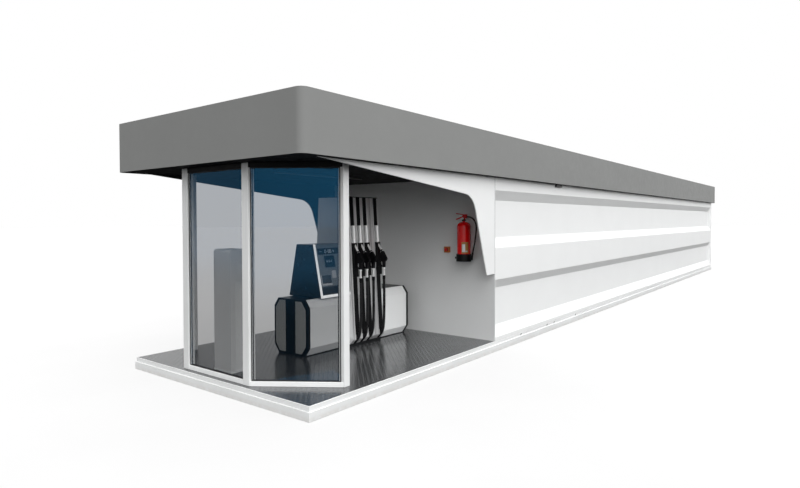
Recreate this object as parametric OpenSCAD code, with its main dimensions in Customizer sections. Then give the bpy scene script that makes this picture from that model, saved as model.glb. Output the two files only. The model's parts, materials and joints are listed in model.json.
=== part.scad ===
// Container filling station: a long fire-rated housing with ribbed side walls under one flat
// roof that runs on over an open dispensing bay at the front end. A glazed screen closes the
// bay's front. The bay holds a pay terminal and one dispenser with a hose mast, and a fire
// extinguisher and an emergency stop hang on the bay's rear wall.
// +X is the right side, the glazed front faces -Y, Z = 0 is the ground.
// The origin is the middle of the roof's length and width, on the ground.

/* [Base] */
// Length of the base frame
base_l = 19290; // [16000:10:22000]
// Width of the base frame's upper band, and of the housing
base_w = 3000; // [2800:10:3200]
// Height of the deck above the ground
base_h = 140; // [120:5:200]
// Width of the base frame's beams
beam_w = 120; // [100:5:160]
// Height of the lower band that stands proud of the beams
ledge_h = 90; // [60:5:110]
// How far the lower band stands proud
ledge_out = 12; // [6:1:20]

/* [Roof] */
// Height of the roof's underside
soffit_z = 2352; // [2250:1:2500]
// Height of the fascia
fascia_h = 566; // [400:1:700]
// Thickness of the fascia's folded panel
fascia_t = 30; // [20:1:60]
// Radius of the fascia's upright corners
roof_corner_r = 80; // [60:5:200]
// Overhang of the roof past each side wall
over_side = 98; // [60:1:200]
// Overhang of the roof past the base's front edge
over_front = 156; // [100:1:300]
// Overhang of the roof past the base's rear edge
over_rear = 132; // [100:1:300]

/* [Housing] */
// Depth of the open bay, from the base's front edge to the rear wall of the bay
bay_l = 3390; // [3200:10:3800]
// Thickness of the fire-rated side walls
wall_t = 120; // [100:5:150]
// Depth of the two long grooves in each side wall
groove_d = 70; // [40:5:80]
// Thickness of the panels that hang over the bay's sides
wing_t = 18; // [12:1:25]

/* [Glazed screen] */
// Distance from the centre line to the outer edge of each front post
front_post_x = 580; // [540:5:640]
// Distance from the centre line to the outer edge of each side post
side_post_x = 1354; // [1250:1:1400]
// Distance from the base's front edge to the front posts
front_post_y = 60; // [40:5:100]
// Distance from the base's front edge to the side posts
side_post_y = 604; // [500:1:700]
// Thickness of the glass
glass_t = 14; // [10:1:24]

/* [Pay terminal] */
// Width of the pay terminal
kiosk_w = 300; // [260:5:360]
// Depth of the pay terminal
kiosk_d = 260; // [220:5:300]
// Height of the pay terminal above the deck
kiosk_h = 1330; // [1150:5:1400]

/* [Dispenser] */
// Length of the dispenser's low cabinet
cabinet_l = 1975; // [1800:5:2050]
// Width of the low cabinet
cabinet_w = 600; // [540:10:660]
// Height of the low cabinet above the deck
cabinet_h = 683; // [620:1:760]
// Length of the display head
head_l = 490; // [400:10:520]
// Height of the display head above the cabinet
head_h = 657; // [560:1:720]
// Length of the hose mast along the dispenser
mast_l = 620; // [600:10:680]
// Height of the hose mast above the deck
mast_h = 1940; // [1800:10:2050]
// Outer diameter of the fuel hoses
hose_d = 36; // [24:1:40]

/* [Hidden] */
$fn = 48;

// Plan positions: y values below are measured back from the base's front edge.
roof_l = base_l + over_front + over_rear;
roof_w = base_w + 2 * over_side;
front_y = over_front - roof_l / 2;
half_w = base_w / 2;
roof_z = soffit_z + fascia_h;

// Deck and floor
plate_t = 8;
deck_lip = 12;
floor_low_z = 60;
beam_top_z = base_h - plate_t;
inner_half_w = half_w - beam_w;

// Walls
face_sheet_t = 12;
end_wall_t = 120;
bulkhead_t = 60;
wall_end_y = base_l - end_wall_t;
groove_margin = 150;
groove_end_y = base_l - groove_margin;
// Each groove: low edge, floor's low edge, floor's high edge, high edge
lower_groove = [190, 340, 850, 970];
upper_groove = [1400, 1540, 2045, 2180];

// Wing panels over the bay's sides: outline in y and z
wing_tip_y = 120;
wing_knee_y = 2830;
wing_knee_z = 2085;
wing_knee_r = 300;
wing_foot_y = 3176;
wing_foot_z = 1050;

// Roof
cap_t = 20;
cap_drop = 18;
soffit_t = 20;
light_w = 60;
light_l = 1500;
light_y = 870;
light_t = 20;

// Screen
front_post_w = 100;
post_d = 80;
side_post_w = 80;
rail_h = 50;
rail_t = 60;
glass_inset = 24;

// Pay terminal
kiosk_x = -98;
kiosk_y = 230;
kiosk_r = 38;
kiosk_plinth_h = 20;
kiosk_side_t = 60;
kiosk_recess = 50;
kiosk_panel_top = 350;

// Dispenser
disp_x = -110;
cabinet_y = 1206;
cabinet_chamfer_w = 72;
cabinet_chamfer_h = 98;
cabinet_foot_h = 12;
panel_t = 12;
end_band = 45;
mast_y = 1930;
mast_low_half = 370;
mast_top_half = 250;
mast_slope = atan((mast_low_half - mast_top_half) / mast_h);
mast_edge_h = 100;
mast_edge_half = mast_low_half - mast_edge_h * tan(mast_slope);
mast_foot_h = 40;
mast_foot_half = 305;
head_y = mast_y - head_l;
head_low_half = 290;
head_top_half = 150;
head_z = base_h + cabinet_h;
head_slope = atan((head_low_half - head_top_half) / head_h);
head_skin = 6;
// Dark windows on the head's sloping sides: along it from and to, up it from and to.
// They are the price strip, the screen, the card tray and the vent band.
display_at = [[53, 430, 541, 619], [147, 326, 374, 522], [60, 220, 176, 278], [46, 450, 40, 134]];

// Nozzles: distance of each nozzle from the mast's front edge
nozzle_at = [88, 213, 339, 558];
// Boots, in heights up the mast's slope: a block with a wider cup at its foot, in a black strip
strip_w = 60;
strip_t = 8;
low_strip_w = 80;
low_strip_z = 165;
boot_d = 42;
boot_z = [908, 1346];
cup_h = 102;
cup_out = 4;
// Spout: a tube stands on the boot, and its lower part leans out from the boot to the nozzle.
// The lower part's ends are distances out from the dispenser's centre line and heights.
spout_d = 44;
spout_x = 23;
spout_high = 1572;
spout_from = [312, 1469];
spout_to = [396, 1352];
leaning_d = 26;
// Nozzle body's outline: distance out from the centre line, and height above the ground
body_w = 32;
swivel_x = 420;
swivel_z = [1037, 1147];
swivel_d = 34;
swivel_waist = 24;
swivel_ring = 24;
body_outline = [
  [367, 1330], [390, 1366], [398, 1369], [415, 1357], [472, 1270], [474, 1262], [462, 1240],
  [440, 1222], [434, swivel_z[1]], [406, swivel_z[1]], [400, 1215], [372, 1262]
];
// Channels in the mast's foot for the lower ends of the hoses, each with its gland
channel_w = 48;
channel_half = 318;
gland_d = 42;
gland_l = 44;

// Fuel hose route, for a nozzle on the right: distance from the dispenser's centre line,
// distance back from the nozzle's own line, and height above the ground
hose_route = [
  [326.6, 0, 215], [334.8, 0, 220.7], [348, 0, 231], [363.8, 0, 246.8], [377.2, 0, 264.7],
  [388, 0, 284.2], [396, 0, 305], [403.6, 0, 334], [409.4, 0, 368], [413.6, 0, 408],
  [416.8, 0, 454], [419.2, 0, 510], [420.8, 0, 570], [421.8, 0, 640], [422, 0, 710],
  [422, 0, 780], [422, 0, 850], [421.8, 0, 910], [421, 0, 965], [420.2, 0, 1010], [420, 0, 1037]
];

// Fire extinguisher
ext_x = 1090;
ext_r = 92;
ext_gap = 33;
ext_low_z = 1213;
ext_boot_h = 97;
ext_boot_r = 104;
ext_shoulder_z = 1690;
ext_top_z = 1753;
ext_hose_d = 20;
ext_y = bay_l - ext_gap - ext_r;
// Route of its hose: across, forward of the bottle's axis, and height
ext_hose_route = [
  [48, 0, 1822], [72, 0, 1822], [98, 0, 1818], [124, 0, 1808], [148, 0, 1792],
  [168, 0, 1770], [183, 0, 1742], [192, 0, 1710], [195, 0, 1675], [194, 0, 1630],
  [189, 0, 1580], [181, 0, 1525], [171, 0, 1470], [160, 0, 1415], [148, 0, 1360],
  [138, 0, 1310]
];

// Emergency stop
stop_x = 750;
stop_z = 1360;
stop_w = 84;
stop_d = 38;
stop_button_r = 16;

module from_front(y) {
  translate([0, front_y + y, 0]) children();
}

module both_sides() {
  children();
  mirror([1, 0, 0]) children();
}

// A box between two corners
module span(low, high) {
  translate(low) cube(high - low);
}

// A plan or end outline swept along the length, from y0 to y1: its points are x and z
module along_y(y0, y1) {
  from_front(y1) rotate([90, 0, 0]) linear_extrude(y1 - y0) children();
}

// A side outline swept across the width, from x0 to x1: its points are y and z
module along_x(x0, x1) {
  translate([x0, front_y, 0]) rotate([90, 0, 90]) linear_extrude(x1 - x0) children();
}

module beam_outline() {
  square([beam_w, beam_top_z]);
  square([beam_w + ledge_out, ledge_h]);
}

module base_side_beams() {
  color("whitesmoke") both_sides() {
    along_y(0, base_l) translate([inner_half_w, 0]) beam_outline();
    from_front(0) span([half_w - deck_lip, 0, beam_top_z], [half_w, bay_l, base_h]);
  }
}

module base_end_beams() {
  color("whitesmoke") {
    from_front(0) {
      span([-inner_half_w, 0, 0], [inner_half_w, beam_w, beam_top_z]);
      span([-half_w - ledge_out, -ledge_out, 0], [half_w + ledge_out, 0, ledge_h]);
      span([-half_w + deck_lip, 0, beam_top_z], [half_w - deck_lip, deck_lip, base_h]);
    }
    from_front(base_l) {
      span([-inner_half_w, -beam_w, 0], [inner_half_w, 0, beam_top_z]);
      span([-half_w - ledge_out, 0, 0], [half_w + ledge_out, ledge_out, ledge_h]);
    }
  }
}

module deck_plate() {
  edge = half_w - deck_lip;
  color("dimgray") from_front(0) {
    span([-edge, deck_lip, beam_top_z], [edge, bay_l, base_h]);
    span([-inner_half_w, beam_w, floor_low_z], [inner_half_w, bay_l, beam_top_z]);
  }
}

module housing_floor() {
  color("gray") from_front(0)
    span([-inner_half_w, bay_l, floor_low_z], [inner_half_w, base_l - beam_w, beam_top_z]);
}

// A groove's outline across: 0 is the wall's face, and the groove lies on its negative side
module groove_outline(g) {
  polygon([[1, g[0] - 2], [-groove_d, g[1]], [-groove_d, g[2]], [1, g[3] + 2]]);
}

// A long groove in a side wall, closed by a slope at the housing's end
module wall_groove(g) {
  intersection() {
    along_y(bay_l + face_sheet_t, groove_end_y) translate([half_w, 0]) groove_outline(g);
    translate([0, front_y, 0]) linear_extrude(soffit_z) polygon([
      [half_w - groove_d - 1, bay_l], [half_w + 2, bay_l],
      [half_w + 2, groove_end_y], [half_w - groove_d - 1, groove_end_y - groove_d]
    ]);
  }
}

module side_wall() {
  difference() {
    from_front(0)
      span([half_w - wall_t, bay_l + face_sheet_t, beam_top_z], [half_w, wall_end_y, soffit_z]);
    wall_groove(lower_groove);
    wall_groove(upper_groove);
  }
}

module side_wall_right() {
  color("white") side_wall();
}

module side_wall_left() {
  color("white") mirror([1, 0, 0]) side_wall();
}

// A face sheet across the whole width, and the insulated core between the side walls
module bay_rear_wall() {
  core_half = half_w - wall_t;
  color("lightgray") from_front(bay_l) {
    span([-half_w, 0, beam_top_z], [half_w, face_sheet_t, soffit_z]);
    span([-core_half, face_sheet_t, beam_top_z], [core_half, bulkhead_t, soffit_z]);
  }
}

// The same groove across the rear end, closed by a slope near each corner
module end_wall_groove(g) {
  reach = half_w - groove_margin;
  intersection() {
    along_x(-reach, reach) translate([base_l, 0]) groove_outline(g);
    translate([0, front_y, 0]) linear_extrude(soffit_z) polygon([
      [-reach, base_l + 2], [reach, base_l + 2],
      [reach - groove_d, base_l - groove_d - 1], [-reach + groove_d, base_l - groove_d - 1]
    ]);
  }
}

module housing_end_wall() {
  color("white") difference() {
    from_front(0) span([-half_w, wall_end_y, beam_top_z], [half_w, base_l, soffit_z]);
    end_wall_groove(lower_groove);
    end_wall_groove(upper_groove);
  }
}

// The panel runs back below the soffit, then drops beside the bay's rear wall
module wing_outline() {
  fall = atan2(wing_knee_z - soffit_z, wing_knee_y - wing_tip_y);
  drop = atan2(wing_foot_z - wing_knee_z, wing_foot_y - wing_knee_y);
  half_turn = (fall - drop) / 2;
  reach = wing_knee_r * tan(half_turn);
  knee_c = [
    wing_knee_y - reach * cos(fall) + wing_knee_r * sin(fall),
    wing_knee_z - reach * sin(fall) - wing_knee_r * cos(fall)
  ];
  polygon(concat(
    [[wing_tip_y, soffit_z]],
    [for (i = [0:8]) knee_c + wing_knee_r * [
      cos(90 + fall - i * (fall - drop) / 8), sin(90 + fall - i * (fall - drop) / 8)
    ]],
    [[wing_foot_y, wing_foot_z], [bay_l, wing_foot_z], [bay_l, soffit_z]]
  ));
}

module wing_panel_right() {
  color("white") along_x(half_w - wing_t, half_w) wing_outline();
}

module wing_panel_left() {
  color("white") along_x(-half_w, -half_w + wing_t) wing_outline();
}

// The roof's plan outline, drawn in by a margin
module roof_outline(margin) {
  w = roof_w - 2 * margin;
  l = roof_l - 2 * margin;
  r = roof_corner_r - margin;
  square([w - 2 * r, l], center = true);
  square([w, l - 2 * r], center = true);
  for (x = [-1, 1])
    for (y = [-1, 1])
      translate([x * (w / 2 - r), y * (l / 2 - r)]) circle(r);
}

module fascia_end() {
  translate([0, 0, soffit_z]) linear_extrude(fascia_h) intersection() {
    difference() {
      roof_outline(0);
      roof_outline(fascia_t);
    }
    translate([-roof_w / 2, -roof_l / 2]) square([roof_w, roof_corner_r]);
  }
}

module fascia_side() {
  straight = roof_l / 2 - roof_corner_r;
  span([roof_w / 2 - fascia_t, -straight, soffit_z], [roof_w / 2, straight, roof_z]);
}

module fascia_front() {
  color("gray") fascia_end();
}

module fascia_rear() {
  color("gray") mirror([0, 1, 0]) fascia_end();
}

module fascia_right() {
  color("gray") fascia_side();
}

module fascia_left() {
  color("gray") mirror([1, 0, 0]) fascia_side();
}

module soffit() {
  color("black") translate([0, 0, soffit_z]) linear_extrude(soffit_t) roof_outline(fascia_t);
}

module roof_cap() {
  color("gray") translate([0, 0, roof_z - cap_drop - cap_t]) linear_extrude(cap_t)
    roof_outline(fascia_t);
}

module ceiling_light() {
  color("white") from_front(light_y)
    span([-light_w / 2, 0, soffit_z - light_t], [light_w / 2, light_l, soffit_z]);
}

// The screen's plan: the front posts stand across, the side posts behind them
module screen_posts() {
  color("gainsboro") both_sides() from_front(0) {
    span(
      [front_post_x - front_post_w, front_post_y, base_h],
      [front_post_x, front_post_y + post_d, soffit_z]
    );
    span(
      [side_post_x - side_post_w, side_post_y, base_h],
      [side_post_x, side_post_y + post_d, soffit_z]
    );
  }
}

// Plan of one slanted bay of the screen, between its two posts, as thick as t and set in
module slant_plan(t, inset) {
  a = [front_post_x, front_post_y];
  b = [side_post_x, side_post_y];
  run = norm(b - a);
  turn = atan2(b[1] - a[1], b[0] - a[0]);
  difference() {
    translate(a) rotate(turn) translate([-post_d, inset]) square([run + post_d, t]);
    translate([front_post_x - 2 * front_post_w, -post_d]) square([2 * front_post_w, 4 * post_d]);
    translate([side_post_x - side_post_w, side_post_y]) square([2 * side_post_w, post_d]);
    translate([side_post_x, side_post_y - post_d]) square(2 * post_d);
  }
}

module screen_rails(z) {
  open_half = front_post_x - front_post_w;
  from_front(0) {
    span(
      [-open_half, front_post_y + 4, z],
      [open_half, front_post_y + 4 + rail_t, z + rail_h]
    );
    both_sides() translate([0, 0, z]) linear_extrude(rail_h) slant_plan(rail_t, 4);
  }
}

module screen_bottom_rails() {
  color("white") screen_rails(base_h);
}

module screen_top_rails() {
  color("dimgray") screen_rails(soffit_z - rail_h);
}

module screen_glass_front() {
  open_half = front_post_x - front_post_w;
  color([0.2, 0.4, 0.5, 0.4]) from_front(0) span(
    [-open_half, front_post_y + glass_inset, base_h + rail_h],
    [open_half, front_post_y + glass_inset + glass_t, soffit_z - rail_h]
  );
}

module slant_glass() {
  color([0.2, 0.4, 0.5, 0.4]) from_front(0) translate([0, 0, base_h + rail_h])
    linear_extrude(soffit_z - base_h - 2 * rail_h) slant_plan(glass_t, glass_inset);
}

module screen_glass_right() {
  slant_glass();
}

module screen_glass_left() {
  mirror([1, 0, 0]) slant_glass();
}

// Front and rear top edges are rounded, and the right side has a recess for its panel
module pay_terminal() {
  low = [kiosk_x - kiosk_w / 2, kiosk_y, base_h];
  color("darkgray") difference() {
    along_x(low[0], low[0] + kiosk_w) translate([kiosk_y, base_h]) {
      square([kiosk_d, kiosk_h - kiosk_r]);
      translate([kiosk_r, 0]) square([kiosk_d - 2 * kiosk_r, kiosk_h]);
      for (y = [kiosk_r, kiosk_d - kiosk_r])
        translate([y, kiosk_h - kiosk_r]) circle(kiosk_r);
    }
    from_front(0) span(
      low + [kiosk_w - kiosk_recess, kiosk_side_t, kiosk_plinth_h],
      low + [kiosk_w + 1, kiosk_d - kiosk_side_t, kiosk_h - kiosk_panel_top]
    );
  }
}

module pay_terminal_panel() {
  low = [kiosk_x + kiosk_w / 2 - kiosk_recess, kiosk_y + kiosk_side_t, base_h + kiosk_plinth_h];
  color("gray") from_front(0) span(
    low,
    low + [kiosk_recess / 2, kiosk_d - 2 * kiosk_side_t, kiosk_h - kiosk_panel_top - kiosk_plinth_h]
  );
}

// The low cabinet's end outline, an upright octagon drawn in by a margin
module cabinet_outline(margin) {
  w = cabinet_w / 2 - margin;
  low = base_h + cabinet_foot_h + max(0, margin - panel_t);
  high = base_h + cabinet_h - max(0, margin - panel_t);
  cw = cabinet_chamfer_w;
  ch = cabinet_chamfer_h;
  polygon([
    [-w + cw, low], [w - cw, low], [w, low + ch], [w, high - ch],
    [w - cw, high], [-w + cw, high], [-w, high - ch], [-w, low + ch]
  ]);
}

// A core with a foot strip below it and a raised band at its outer end
module cabinet_core(y0, y1, band_y) {
  foot_half = cabinet_w / 2 - cabinet_chamfer_w;
  translate([disp_x, 0, 0]) {
    along_y(y0, y1) {
      cabinet_outline(panel_t);
      translate([-foot_half, base_h]) square([2 * foot_half, 2 * cabinet_foot_h]);
    }
    along_y(band_y, band_y + end_band) cabinet_outline(0);
  }
}

module cabinet_front() {
  color("black") cabinet_core(cabinet_y, mast_y, cabinet_y);
}

module cabinet_rear() {
  cabinet_end = cabinet_y + cabinet_l;
  color("black") cabinet_core(mast_y + mast_l, cabinet_end, cabinet_end - end_band);
}

module cabinet_skin(y0, y1) {
  translate([disp_x, 0, 0]) both_sides() along_y(y0, y1) difference() {
    cabinet_outline(0);
    cabinet_outline(panel_t);
    translate([-cabinet_w, 0]) square([cabinet_w + 40, 2 * cabinet_h + base_h]);
  }
}

module cabinet_side_panels() {
  color("white") {
    cabinet_skin(cabinet_y + end_band, mast_y);
    cabinet_skin(mast_y + mast_l, cabinet_y + cabinet_l - end_band);
  }
}

// Two grey panels on each end, either side of a black strip
module end_panel_pair() {
  strip_half = 90;
  intersection() {
    cabinet_outline(2 * panel_t + 8);
    for (s = [-1, 1])
      translate([s * cabinet_w / 2, base_h]) translate([0, cabinet_h / 2])
        square([cabinet_w - 2 * strip_half, cabinet_h], center = true);
  }
}

module cabinet_end_panels() {
  panel_out = 6;
  color("gray") translate([disp_x, 0, 0]) {
    along_y(cabinet_y - panel_out, cabinet_y) end_panel_pair();
    along_y(cabinet_y + cabinet_l, cabinet_y + cabinet_l + panel_out) end_panel_pair();
  }
}

module display_head() {
  color("darkslategray") translate([disp_x, 0, head_z]) along_y(head_y, mast_y) polygon([
    [-head_low_half, 0], [head_low_half, 0], [head_top_half, head_h], [-head_top_half, head_h]
  ]);
}

// Puts its children on the sloping side of the display head: x out, y back, z up the slope
module on_head() {
  translate([disp_x, 0, 0]) both_sides() translate([head_low_half, front_y + head_y, head_z])
    rotate([0, -head_slope, 0]) children();
}

module display_head_trim() {
  slope_l = head_h / cos(head_slope);
  trim_w = 34;
  color("white") on_head() {
    span([0, 0, 0], [head_skin, trim_w, slope_l]);
    span([0, 0, 0], [head_skin, head_l, trim_w]);
  }
}

module display_panels() {
  color("black") on_head()
    for (p = display_at)
      span([0, p[0], p[2]], [head_skin, p[1], p[3]]);
}

// The mast's end outline: sloping sides, and a chamfer down to a narrower foot
module mast_block() {
  translate([disp_x, 0, base_h]) along_y(mast_y, mast_y + mast_l) polygon([
    [-mast_foot_half, 0], [mast_foot_half, 0], [mast_foot_half, mast_foot_h],
    [mast_edge_half, mast_edge_h], [mast_top_half, mast_h],
    [-mast_top_half, mast_h], [-mast_edge_half, mast_edge_h], [-mast_foot_half, mast_foot_h]
  ]);
}

// Puts its children at each nozzle's own line: x out from the dispenser's centre line
module at_nozzle_lines() {
  translate([disp_x, front_y + mast_y, 0]) both_sides()
    for (at = nozzle_at)
      translate([0, at, 0]) children();
}

// The mast with a channel and a gland in its foot for the lower end of each hose
module hose_mast() {
  low = hose_route[0];
  way = route_way(hose_route, 0);
  color("silver") {
    difference() {
      mast_block();
      at_nozzle_lines() span(
        [channel_half, -channel_w / 2, base_h + mast_foot_h],
        [mast_low_half, channel_w / 2, base_h + low_strip_z]
      );
    }
    at_nozzle_lines() translate(low) rotate([0, acos(way[2]), 0])
      translate([0, 0, -gland_l]) cylinder(h = gland_l, d = gland_d);
  }
}

// Puts its children on the mast's sloping sides at each nozzle: x out, z up the slope
module at_nozzles() {
  at_nozzle_lines() translate([mast_low_half, 0, base_h]) rotate([0, -mast_slope, 0]) children();
}

// The block that holds a spout, with its cup
module boot_block() {
  span([0, -strip_w / 2, boot_z[0]], [boot_d, strip_w / 2, boot_z[1]]);
  span(
    [0, -strip_w / 2 - cup_out, boot_z[0]],
    [boot_d + cup_out, strip_w / 2 + cup_out, boot_z[0] + cup_h]
  );
}

module nozzle_boots() {
  color("black") at_nozzles() {
    span([0, -strip_w / 2, spout_high], [strip_t, strip_w / 2, mast_h]);
    span([0, -low_strip_w / 2, low_strip_z], [strip_t, low_strip_w / 2, boot_z[0]]);
    boot_block();
  }
}

// The body runs down and out from the spout's foot, and the grip hangs from its bend
module nozzle_body() {
  translate([0, body_w / 2, 0]) rotate([90, 0, 0]) linear_extrude(body_w) polygon(body_outline);
}

module nozzle_bodies() {
  color("black") at_nozzle_lines() nozzle_body();
}

// The leaning part runs from one point to another in the upright plane across the dispenser
module leaning_spout() {
  run = spout_to - spout_from;
  translate([spout_from[0], 0, spout_from[1]]) rotate([0, atan2(run[0], run[1]), 0])
    cylinder(h = norm(run), d = leaning_d);
}

module nozzle_spouts() {
  color("white") {
    at_nozzles() translate([spout_x, 0, boot_z[1]]) cylinder(h = spout_high - boot_z[1], d = spout_d);
    difference() {
      at_nozzle_lines() leaning_spout();
      at_nozzles() boot_block();
      at_nozzle_lines() nozzle_body();
    }
  }
}

// The swivel between each grip and its hose has a ring at both ends
module hose_couplings() {
  r = swivel_d / 2;
  w = swivel_waist / 2;
  l = swivel_z[1] - swivel_z[0];
  color("silver") at_nozzle_lines() translate([swivel_x, 0, swivel_z[0]])
    rotate_extrude() polygon([
      [0, 0], [r, 0], [r, swivel_ring - 6], [w, swivel_ring],
      [w, l - swivel_ring], [r, l - swivel_ring + 6], [r, l], [0, l]
    ]);
}

function unit(v) = v / norm(v);

// Direction of a route at one of its points
function route_way(p, i) = unit(p[min(i + 1, len(p) - 1)] - p[max(i - 1, 0)]);

// A round tube swept along a route that stays near one upright plane
module route_tube(p, d, sides) {
  n = len(p);
  rings = [for (i = [0:n - 1])
    let (way = route_way(p, i), across = unit(cross([0, 1, 0], way)), up = cross(way, across))
    [for (j = [0:sides - 1])
      p[i] + d / 2 * (cos(360 * j / sides) * across + sin(360 * j / sides) * up)]
  ];
  skin = [for (i = [0:n - 2]) for (j = [0:sides - 1])
    let (k = (j + 1) % sides)
    [i * sides + k, i * sides + j, (i + 1) * sides + j, (i + 1) * sides + k]
  ];
  polyhedron(
    points = [for (ring = rings) each ring],
    faces = concat(
      skin,
      [[for (j = [0:sides - 1]) j]],
      [[for (j = [sides - 1:-1:0]) (n - 1) * sides + j]]
    )
  );
}

module fuel_hose(number) {
  color("black") translate([disp_x, front_y + mast_y + nozzle_at[number - 1], 0])
    route_tube(hose_route, hose_d, 10);
}

module fuel_hose_left(number) {
  color("black") translate([disp_x, front_y + mast_y + nozzle_at[number - 1], 0])
    mirror([1, 0, 0]) route_tube(hose_route, hose_d, 10);
}

module at_extinguisher() {
  translate([ext_x, front_y + ext_y, 0]) children();
}

module extinguisher_bottle() {
  neck_r = 18;
  dome_h = ext_top_z - ext_shoulder_z;
  color("red") at_extinguisher() rotate_extrude() polygon(concat(
    [[0, ext_low_z + face_sheet_t], [ext_r, ext_low_z + face_sheet_t]],
    [for (a = [0:10:70])
      [neck_r + (ext_r - neck_r) * cos(a), ext_shoulder_z + dome_h * sin(a)]],
    [[neck_r, ext_top_z], [neck_r, ext_top_z + 20], [0, ext_top_z + 20]]
  ));
}

// A round cup with a block behind it that carries the bottle on the wall
module extinguisher_boot() {
  color("black") at_extinguisher() difference() {
    union() {
      translate([0, 0, ext_low_z]) cylinder(h = ext_boot_h, r = ext_boot_r);
      span([-40, 0, ext_low_z], [40, ext_r + ext_gap, ext_low_z + ext_boot_h]);
    }
    translate([0, 0, ext_low_z + face_sheet_t]) cylinder(h = ext_boot_h, r = ext_r);
  }
}

module extinguisher_valve() {
  base = ext_top_z + 20;
  color("red") at_extinguisher() {
    translate([0, 0, base]) cylinder(h = 42, r = 22);
    span([-16, -12, base + 30], [48, 12, base + 84]);
    translate([0, 0, base + 56]) rotate([0, -109, 0]) span([-6, -11, 0], [6, 11, 128]);
    translate([20, 0, base + 76]) rotate([0, -82, 0]) span([-5, -11, 0], [5, 11, 142]);
  }
}

module extinguisher_hose() {
  color("black") at_extinguisher() route_tube(ext_hose_route, ext_hose_d, 10);
}

module emergency_stop() {
  color("orange") from_front(bay_l) translate([stop_x, 0, stop_z]) {
    span([-stop_w / 2, -stop_d, -stop_w / 2], [stop_w / 2, 0, stop_w / 2]);
    translate([0, -stop_d, 0]) rotate([90, 0, 0]) cylinder(h = 20, r = stop_button_r);
  }
}

base_side_beams();
base_end_beams();
deck_plate();
housing_floor();
side_wall_right();
side_wall_left();
bay_rear_wall();
housing_end_wall();
wing_panel_right();
wing_panel_left();
fascia_front();
fascia_rear();
fascia_right();
fascia_left();
soffit();
roof_cap();
ceiling_light();
screen_posts();
screen_bottom_rails();
screen_top_rails();
screen_glass_front();
screen_glass_right();
screen_glass_left();
pay_terminal();
pay_terminal_panel();
cabinet_front();
cabinet_rear();
cabinet_side_panels();
cabinet_end_panels();
display_head();
display_head_trim();
display_panels();
hose_mast();
nozzle_boots();
nozzle_spouts();
nozzle_bodies();
hose_couplings();
fuel_hose(1);  // hose_right_1
fuel_hose(2);  // hose_right_2
fuel_hose(3);  // hose_right_3
fuel_hose(4);  // hose_right_4
fuel_hose_left(1);  // hose_left_1
fuel_hose_left(2);  // hose_left_2
fuel_hose_left(3);  // hose_left_3
fuel_hose_left(4);  // hose_left_4
extinguisher_bottle();
extinguisher_boot();
extinguisher_valve();
extinguisher_hose();
emergency_stop();
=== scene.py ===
"""Looks of the container filling station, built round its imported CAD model."""
import json
import math

import bmesh
import bpy
from mathutils import Matrix, Vector

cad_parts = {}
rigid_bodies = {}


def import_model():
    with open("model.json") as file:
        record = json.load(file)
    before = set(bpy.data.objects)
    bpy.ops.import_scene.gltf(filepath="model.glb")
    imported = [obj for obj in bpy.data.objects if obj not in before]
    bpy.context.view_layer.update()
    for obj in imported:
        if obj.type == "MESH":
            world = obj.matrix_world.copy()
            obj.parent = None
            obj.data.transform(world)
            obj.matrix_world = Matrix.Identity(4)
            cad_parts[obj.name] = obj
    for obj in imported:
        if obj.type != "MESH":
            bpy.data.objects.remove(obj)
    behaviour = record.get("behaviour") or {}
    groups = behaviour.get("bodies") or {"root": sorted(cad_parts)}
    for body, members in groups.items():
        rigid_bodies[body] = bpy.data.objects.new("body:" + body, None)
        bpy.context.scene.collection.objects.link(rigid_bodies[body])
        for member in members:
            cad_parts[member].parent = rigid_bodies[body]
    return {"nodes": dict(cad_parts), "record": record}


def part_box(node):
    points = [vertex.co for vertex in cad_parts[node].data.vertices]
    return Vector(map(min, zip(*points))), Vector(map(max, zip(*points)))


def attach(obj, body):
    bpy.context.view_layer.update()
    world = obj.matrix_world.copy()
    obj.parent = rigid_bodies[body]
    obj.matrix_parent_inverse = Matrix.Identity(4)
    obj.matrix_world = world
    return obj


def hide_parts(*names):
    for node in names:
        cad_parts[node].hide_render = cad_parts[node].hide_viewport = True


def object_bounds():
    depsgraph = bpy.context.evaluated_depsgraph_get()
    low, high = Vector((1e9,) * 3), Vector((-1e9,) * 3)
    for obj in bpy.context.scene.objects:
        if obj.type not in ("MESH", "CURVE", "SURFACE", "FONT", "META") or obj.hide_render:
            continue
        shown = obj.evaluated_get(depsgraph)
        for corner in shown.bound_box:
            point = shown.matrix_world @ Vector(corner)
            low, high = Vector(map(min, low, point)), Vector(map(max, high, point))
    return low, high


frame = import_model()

NODES = frame["nodes"]
CAD_LOW, CAD_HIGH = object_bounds()

# Planes and lines of the station that many pieces are placed from, in metres in the row frame.
FRONT_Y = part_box("base_side_beams")[0].y
DECK_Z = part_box("deck_plate")[1].z
BAY_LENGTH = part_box("deck_plate")[1].y - FRONT_Y
HALF_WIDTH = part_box("side_wall_right")[1].x
SOFFIT_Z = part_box("soffit")[0].z
ROOF_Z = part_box("fascia_right")[1].z
MAST_LOW, MAST_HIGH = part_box("hose_mast")
HEAD_LOW, HEAD_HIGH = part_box("display_head")
HEAD_HALF = (HEAD_HIGH.x - HEAD_LOW.x) / 2
HEAD_HEIGHT = HEAD_HIGH.z - HEAD_LOW.z
DISP_X = (HEAD_LOW.x + HEAD_HIGH.x) / 2

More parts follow.
